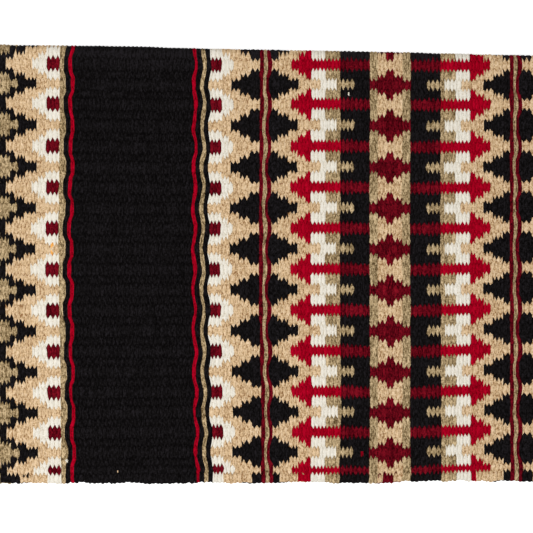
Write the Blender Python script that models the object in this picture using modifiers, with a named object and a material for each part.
"""A weft-faced wool saddle blanket, woven flat and stored folded once along the horse's spine.

The warps run along the spine. Each coloured band of weft wraps round them: down the outer face,
round the selvage warp and back up the inner face. The lower flap lies on the shelf, the upper flap
turns on the fold. +X runs along the fold, +Y points from the selvages to the fold, and the origin is
under the middle of the folded blanket, on the surface that it lies on.
"""

import math

import bmesh
import bpy

# Yarns and the cloth that they make
WARP_DIAMETER = 0.0030
WARP_PITCH = 0.0055
WEFT_THICKNESS = 0.0022
YARN_CLEARANCE = 0.0003
LAYER_GAP = 0.0003
BAND_GAP = 0.0003
END_CORD_DIAMETER = 0.0080

# Size over the back, how far the front hangs below the crest of the fold, and how much less it
# hangs at the right end, because the fold was made by hand and isn't square to the weave
SELVAGE_TO_SELVAGE = 0.8950
FRONT_DROP = 0.4604
FOLD_SKEW = 0.0195

# Widths of the weft bands, along the spine, from the middle outwards
DIAMOND_COLUMN_WIDTH = 0.0440
BLACK_COLUMN_WIDTH = 0.0318
SAGE_COLUMN_WIDTH = 0.0161
WHITE_COLUMN_WIDTH = 0.0157
CROSS_BAND_WIDTH = 0.0417
MAROON_LINES_WIDTH = 0.0134
STEPPED_BAND_WIDTH = 0.0540
INNER_PINSTRIPES_WIDTH = 0.0178
BLACK_PANEL_WIDTH = 0.1263
OUTER_PINSTRIPES_WIDTH = 0.0167
ZIGZAG_BAND_WIDTH = 0.0586
END_BORDER_WIDTH = 0.0131

# Smoothness of the round forms, in steps
SELVAGE_STEPS = 8
FOLD_STEPS = 20
BORE_STEPS = 12
TURN_STEPS = 3
WARP_RINGS = 1
CORD_RINGS = 3
SHORTEST_WARP_IN_PITCHES = 12

# Wool colours, as linear red, green and blue
BLACK = (0.0060, 0.0052, 0.0056)
BRIGHT_RED = (0.3660, 0.0040, 0.0210)
MAROON = (0.1090, 0.0040, 0.0080)
TAN = (0.6310, 0.4560, 0.2750)
WHITE = (0.7910, 0.7230, 0.6100)
SAGE = (0.3370, 0.2510, 0.1250)
RAW_GREY = (0.4500, 0.4200, 0.3700)
WOOL_ROUGHNESS = 0.92

# Each weft band from the middle outwards: its name, its width and its ground yarn
SIDE_BANDS = (
    ("black_column", BLACK_COLUMN_WIDTH, "black"),
    ("sage_column", SAGE_COLUMN_WIDTH, "sage"),
    ("white_column", WHITE_COLUMN_WIDTH, "white"),
    ("cross_band", CROSS_BAND_WIDTH, "tan"),
    ("maroon_lines", MAROON_LINES_WIDTH, "maroon"),
    ("stepped_band", STEPPED_BAND_WIDTH, "tan"),
    ("inner_pinstripes", INNER_PINSTRIPES_WIDTH, "bright_red"),
    ("black_panel", BLACK_PANEL_WIDTH, "black"),
    ("outer_pinstripes", OUTER_PINSTRIPES_WIDTH, "bright_red"),
    ("zigzag_band", ZIGZAG_BAND_WIDTH, "tan"),
    ("end_border", END_BORDER_WIDTH, "sage"),
)
YARNS = {
    "black": BLACK,
    "bright_red": BRIGHT_RED,
    "maroon": MAROON,
    "tan": TAN,
    "white": WHITE,
    "sage": SAGE,
    "raw_grey": RAW_GREY,
}

# What follows from them
CLOTH_THICKNESS = WARP_DIAMETER + 2 * YARN_CLEARANCE + 2 * WEFT_THICKNESS
FLAP_MIDDLE = (CLOTH_THICKNESS + LAYER_GAP) / 2
FOLD_RADIUS = CLOTH_THICKNESS + LAYER_GAP / 2
FLOAT_MIDDLE = WARP_DIAMETER / 2 + YARN_CLEARANCE + WEFT_THICKNESS / 2
HALF_WOVEN = DIAMOND_COLUMN_WIDTH / 2 + sum(width for _, width, _ in SIDE_BANDS)
HALF_LENGTH = HALF_WOVEN + BAND_GAP / 2 + END_CORD_DIAMETER
FRONT_FLAT = FRONT_DROP - FOLD_RADIUS
BACK_FLAT = SELVAGE_TO_SELVAGE - FRONT_FLAT - math.pi * FLAP_MIDDLE
SKEW = math.atan2(FOLD_SKEW, 2 * HALF_LENGTH)

# A flap's name, which side of the fold's middle plane it lies on, and its drop on the middle column
FLAPS = (("front", 1, FRONT_FLAT), ("back", -1, BACK_FLAT))


def clear_scene():
    for obj in list(bpy.data.objects):
        bpy.data.objects.remove(obj)


def make_collection(name):
    made = bpy.data.collections.new(name)
    bpy.context.scene.collection.children.link(made)
    return made


def make_wools():
    wools = {}
    for name, colour in YARNS.items():
        wool = bpy.data.materials.new(name + "_wool")
        wool.use_nodes = True
        shader = wool.node_tree.nodes["Principled BSDF"]
        shader.inputs["Base Color"].default_value = (*colour, 1)
        shader.inputs["Roughness"].default_value = WOOL_ROUGHNESS
        shader.inputs["Metallic"].default_value = 0
        wools[name] = wool
    return wools


def drop_at(side, flat, along):
    """How far a flap reaches from the fold to its selvage, along the weft at this place on the spine."""
    return flat - side * along * math.tan(SKEW)


def place(side, along, drop, height):
    """The point of a flap this far along the spine and down the weft from the fold."""
    x = along / math.cos(SKEW) + side * drop * math.sin(SKEW)
    return (x, -drop * math.cos(SKEW), side * FLAP_MIDDLE + height)


def make_spine_axis(name):
    """An empty on the fold's axis, placed so that the folded blanket is centred over the origin."""
    ends = [
        place(side, along, drop_at(side, flat, along), 0)
        for _, side, flat in FLAPS
        for along in (-HALF_LENGTH, HALF_LENGTH)
    ]
    across = [point[0] for point in ends]
    down = [point[1] for point in ends]
    axis = bpy.data.objects.new(name, None)
    axis.location = (
        -(min(across) + max(across)) / 2,
        -(min(down) + FOLD_RADIUS) / 2,
        FOLD_RADIUS,
    )
    return axis


def add(obj, parent, parts, wool):
    parts.objects.link(obj)
    obj.parent = parent
    obj.data.materials.append(wool)
    return obj


def band_profile(side, flat, along):
    """A weft band's middle surface in section: outer face, round the selvage, inner face."""
    start = LAYER_GAP / 2 / math.cos(SKEW)
    turn = drop_at(side, flat, along) - CLOTH_THICKNESS / 2
    points = [place(side, along, start, FLOAT_MIDDLE)]
    for step in range(SELVAGE_STEPS + 1):
        angle = math.pi * step / SELVAGE_STEPS
        drop = turn + FLOAT_MIDDLE * math.sin(angle)
        points.append(place(side, along, drop, FLOAT_MIDDLE * math.cos(angle)))
    points.append(place(side, along, start, -FLOAT_MIDDLE))
    return points


def make_band(name, side, flat, low, high):
    """One coloured band: an open sheet lofted along the spine, thickened to the weft."""
    mesh = bpy.data.meshes.new(name)
    loft = bmesh.new()
    edges = []
    for along in (low + BAND_GAP / 2, high - BAND_GAP / 2):
        row = [loft.verts.new(point) for point in band_profile(side, flat, along)]
        edges += [loft.edges.new(pair) for pair in zip(row, row[1:])]
    bmesh.ops.bridge_loops(loft, edges=edges)
    bmesh.ops.recalc_face_normals(loft, faces=loft.faces)
    loft.to_mesh(mesh)
    loft.free()
    mesh.shade_smooth()
    band = bpy.data.objects.new(name, mesh)
    weft = band.modifiers.new("weft", "SOLIDIFY")
    weft.thickness = WEFT_THICKNESS
    weft.offset = 0
    weft.use_even_offset = True
    return band


def make_bands(flap, side, flat, parent, parts, wools):
    half = DIAMOND_COLUMN_WIDTH / 2
    middle = make_band(flap + "_diamond_column", side, flat, -half, half)
    add(middle, parent, parts, wools["tan"])
    inner = half
    for name, width, yarn in SIDE_BANDS:
        outer = inner + width
        for end, low, high in (("left", -outer, -inner), ("right", inner, outer)):
            band = make_band(f"{flap}_{end}_{name}", side, flat, low, high)
            add(band, parent, parts, wools[yarn])
        inner = outer


def make_tube(name, points, diameter, rings):
    curve = bpy.data.curves.new(name, "CURVE")
    curve.dimensions = "3D"
    curve.bevel_depth = diameter / 2
    curve.bevel_resolution = rings
    curve.use_fill_caps = True
    spline = curve.splines.new("POLY")
    spline.points.add(len(points) - 1)
    for knot, point in zip(spline.points, points):
        knot.co = (*point, 1)
        knot.radius = 1
    spline.use_smooth = True
    return bpy.data.objects.new(name, curve)


def warp_ends(side, flat, inset):
    """The stretch of the spine that a warp covers, this far in from the selvage: up to the end
    cords, or to the fold where the skewed fold line cuts it short."""
    room = WARP_PITCH / 2 + WARP_DIAMETER / 2 + YARN_CLEARANCE
    limit = HALF_LENGTH - END_CORD_DIAMETER - room
    clear = WARP_DIAMETER / 2 + YARN_CLEARANCE + LAYER_GAP
    reach = (flat - inset - clear) / math.tan(SKEW) - room
    ends = (-limit, min(limit, reach))
    return ends if side > 0 else (-ends[1], -ends[0])


def warp_route(side, flat):
    """One unbroken warp laid to and fro, from the selvage up to the fold, with round turns."""
    insets = []
    inset = CLOTH_THICKNESS / 2
    shortest = SHORTEST_WARP_IN_PITCHES * WARP_PITCH
    while warp_ends(side, flat, inset)[1] - warp_ends(side, flat, inset)[0] > shortest:
        insets.append(inset)
        inset += WARP_PITCH
    route = []

    def lay(along, inset):
        route.append(place(side, along, drop_at(side, flat, along) - inset, 0))

    for run, inset in enumerate(insets):
        right = run % 2 == 0
        following = insets[min(run + 1, len(insets) - 1)]
        previous = insets[max(run - 1, 0)]
        near, far = (previous, following) if right else (following, previous)
        low = max(warp_ends(side, flat, inset)[0], warp_ends(side, flat, near)[0])
        high = min(warp_ends(side, flat, inset)[1], warp_ends(side, flat, far)[1])
        begin, end = (low, high) if right else (high, low)
        lay(begin, inset)
        lay(end, inset)
        if run == len(insets) - 1:
            break
        way = 1 if right else -1
        for step in range(1, TURN_STEPS):
            angle = math.pi * step / TURN_STEPS
            bulge = way * WARP_PITCH / 2 * math.sin(angle)
            lay(end + bulge, inset + WARP_PITCH / 2 * (1 - math.cos(angle)))
    return route


def make_end_cord(name, side, flat, end):
    """The cord that the warp loops are caught on, down one end of a flap."""
    along = end * (HALF_LENGTH - END_CORD_DIAMETER / 2)
    top = (LAYER_GAP / 2 + END_CORD_DIAMETER / 2 * math.sin(SKEW)) / math.cos(SKEW)
    points = [
        place(side, along, drop, 0) for drop in (top, drop_at(side, flat, along))
    ]
    return make_tube(name, points, END_CORD_DIAMETER, CORD_RINGS)


def spine_warp_places():
    """Where the warps inside the fold lie, as (out from the axis, up from it)."""
    reach = FOLD_RADIUS / 2 * math.sin(math.pi / 4)
    return ((reach, -reach), (reach, reach))


def make_spine_fold(name):
    """The strip of cloth that bends round the fold: a half round with bores for its warps."""
    half_gap = LAYER_GAP / 2
    corner = math.acos(half_gap / FOLD_RADIUS)
    outline = []
    for step in range(FOLD_STEPS + 1):
        angle = corner * (2 * step / FOLD_STEPS - 1)
        outline.append((FOLD_RADIUS * math.cos(angle), FOLD_RADIUS * math.sin(angle)))
    rings = [outline]
    bore = WARP_DIAMETER / 2 + YARN_CLEARANCE
    for out, up in spine_warp_places():
        turns = [2 * math.pi * step / BORE_STEPS for step in range(BORE_STEPS)]
        rings.append([(out + bore * math.cos(t), up + bore * math.sin(t)) for t in turns])
    section = bpy.data.curves.new(name, "CURVE")
    section.dimensions = "2D"
    section.fill_mode = "BOTH"
    section.extrude = HALF_LENGTH / math.cos(SKEW)
    for ring in rings:
        spline = section.splines.new("POLY")
        spline.points.add(len(ring) - 1)
        for knot, (out, up) in zip(spline.points, ring):
            knot.co = (out, up, 0, 1)
        spline.use_cyclic_u = True
    fold = bpy.data.objects.new(name, section)
    fold.rotation_euler = (math.pi / 2, 0, math.pi / 2)
    return fold


def make_spine_warp(name, out, up):
    half = HALF_LENGTH / math.cos(SKEW)
    return make_tube(name, [(-half, out, up), (half, out, up)], WARP_DIAMETER, CORD_RINGS)


def make_blanket():
    clear_scene()
    parts = make_collection("saddle_blanket")
    wools = make_wools()
    axes = {"front": make_spine_axis("front_flap_axis"), "back": make_spine_axis("spine_axis")}
    for axis in axes.values():
        parts.objects.link(axis)
    for flap, side, flat in FLAPS:
        make_bands(flap, side, flat, axes[flap], parts, wools)
        warp = make_tube(flap + "_warp", warp_route(side, flat), WARP_DIAMETER, WARP_RINGS)
        add(warp, axes[flap], parts, wools["raw_grey"])
        for end_name, end in (("left", -1), ("right", 1)):
            cord = make_end_cord(f"{flap}_{end_name}_end_cord", side, flat, end)
            add(cord, axes[flap], parts, wools["black"])
    add(make_spine_fold("spine_fold"), axes["back"], parts, wools["black"])
    for name, (out, up) in zip(("lower_spine_warp", "upper_spine_warp"), spine_warp_places()):
        add(make_spine_warp(name, out, up), axes["back"], parts, wools["raw_grey"])


make_blanket()
